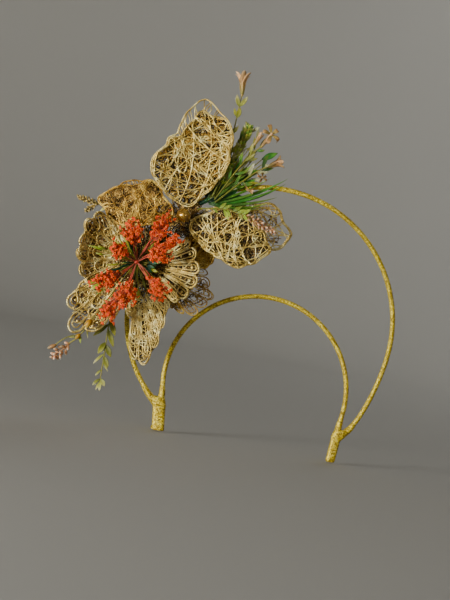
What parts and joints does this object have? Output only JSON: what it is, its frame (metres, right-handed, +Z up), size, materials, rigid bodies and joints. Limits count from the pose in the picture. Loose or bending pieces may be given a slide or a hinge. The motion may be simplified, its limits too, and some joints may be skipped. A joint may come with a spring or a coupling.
{
  "type": "fascinator headpiece",
  "caption": "Gold-bound double hoop headpiece with a mesh flower, a lace flower, a red blossom spray and wired foliage sprigs on the outer hoop.",
  "frame": {"origin": "underside of the inner hoop's wrap at its crown, where the headpiece rests on the head", "axes": "+Z up, +X to the wearer's left, the wearer faces -Y; both hoops' feet lie in the X-Z plane"},
  "size_m": [0.2977, 0.0722, 0.3287],
  "materials": {
    "steel_wire": "drawn spring wire",
    "gold_ribbon": "metallic gold glitter ribbon, tightly wound",
    "gold_mesh": "champagne gold metallic thread",
    "gold_lace": "champagne gold metallic cord lace",
    "gold_bead": "glossy bronze-gold pearl",
    "felt": "dark matted felt",
    "red_blossom": "soft moulded, coral red",
    "green_leaf": "soft moulded, shaded green",
    "green_stem": "soft moulded over wire, yellow green",
    "lily_petal": "soft moulded, peach to brown",
    "peach_bud": "soft moulded, peach"
  },
  "bodies": {
    "headpiece": {"band_core_wire": "steel_wire", "band_wrap": "gold_ribbon", "halo_core_wire": "steel_wire", "halo_wrap": "gold_ribbon", "left_foot_web": "gold_ribbon", "left_foot_tail": "gold_ribbon", "right_foot_web": "gold_ribbon", "right_foot_tail": "gold_ribbon", "mesh_flower_base": "felt", "mesh_flower_lashing": "gold_mesh", "lace_flower_base": "felt", "lace_flower_lashing": "gold_mesh", "mesh_petal_upper": "gold_mesh", "mesh_petal_left": "gold_mesh", "mesh_petal_lower_right": "gold_mesh", "mesh_petal_right": "gold_mesh", "mesh_petal_back": "gold_mesh", "mesh_petal_upper_edge_wire": "gold_mesh", "mesh_petal_left_edge_wire": "gold_mesh", "mesh_petal_lower_right_edge_wire": "gold_mesh", "mesh_petal_right_edge_wire": "gold_mesh", "mesh_petal_back_edge_wire": "gold_mesh", "lace_petal_left": "gold_lace", "lace_petal_right": "gold_lace", "lace_petal_hanging": "gold_lace", "lace_petal_lower_left": "gold_lace", "lace_petal_rear": "gold_lace", "bead_pin": "gold_mesh", "spray_hub": "green_stem", "spray_leaves": "green_leaf", "blossom_head_upper_right": "red_blossom", "blossom_head_upper": "red_blossom", "blossom_head_upper_left": "red_blossom", "blossom_head_right": "red_blossom", "blossom_head_far_right": "red_blossom", "blossom_head_left": "red_blossom", "blossom_head_lower": "red_blossom", "blossom_head_lower_left": "red_blossom", "blossom_head_lower_right": "red_blossom", "stem_tape": "green_leaf", "fern_frond": "green_leaf", "leaf_bunch": "green_leaf", "grass_blades": "green_leaf"},
    "bead": {"gold_bead": "gold_bead"},
    "tall_lily": {"tall_lily_stem": "green_stem", "tall_lily_flower": "lily_petal"},
    "open_lily": {"open_lily_stem": "green_stem", "open_lily_flower": "lily_petal"},
    "side_lily": {"side_lily_stem": "green_stem", "side_lily_flower": "lily_petal"},
    "peach_sprig": {"peach_sprig_stem": "green_stem", "peach_sprig_buds": "peach_bud"},
    "bud_sprig": {"bud_sprig_stem": "green_stem", "bud_sprig_buds": "peach_bud"},
    "side_sprig": {"side_sprig_stem": "green_stem", "side_sprig_buds": "peach_bud"},
    "hanging_sprig": {"hanging_sprig_stem": "green_stem", "hanging_sprig_leaves": "green_leaf"}
  },
  "joints": [
    {"name": "bead_spin", "type": "hinge", "parent": "headpiece", "child": "bead", "pos_m": [-0.0886, -0.045, 0.05786], "axis": [0, 1, 0], "continuous": true},
    {"name": "tall_lily_bend", "type": "hinge", "parent": "headpiece", "child": "tall_lily", "pos_m": [-0.0675, -0.037, 0.07936], "axis": [0, 1, 0], "range_deg": [-12, 12]},
    {"name": "open_lily_bend", "type": "hinge", "parent": "headpiece", "child": "open_lily", "pos_m": [-0.0653, -0.038, 0.07636], "axis": [0, 1, 0], "range_deg": [-8, 4]},
    {"name": "side_lily_bend", "type": "hinge", "parent": "headpiece", "child": "side_lily", "pos_m": [-0.0645, -0.0368, 0.07436], "axis": [0.6981, 0, -0.716], "range_deg": [-2, 25]},
    {"name": "peach_sprig_bend", "type": "hinge", "parent": "headpiece", "child": "peach_sprig", "pos_m": [-0.078, -0.037, 0.06586], "axis": [0, 1, 0], "range_deg": [-10, 8]},
    {"name": "bud_sprig_bend", "type": "hinge", "parent": "headpiece", "child": "bud_sprig", "pos_m": [-0.134, -0.0192, -0.00164], "axis": [0, 1, 0], "range_deg": [-3, 8]},
    {"name": "side_sprig_bend", "type": "hinge", "parent": "headpiece", "child": "side_sprig", "pos_m": [-0.1005, -0.0272, 0.05886], "axis": [0, 1, 0], "range_deg": [-5, 5]},
    {"name": "hanging_sprig_bend", "type": "hinge", "parent": "headpiece", "child": "hanging_sprig", "pos_m": [-0.1245, -0.0194, -0.00264], "axis": [0, 1, 0], "range_deg": [-10, 5]}
  ]
}
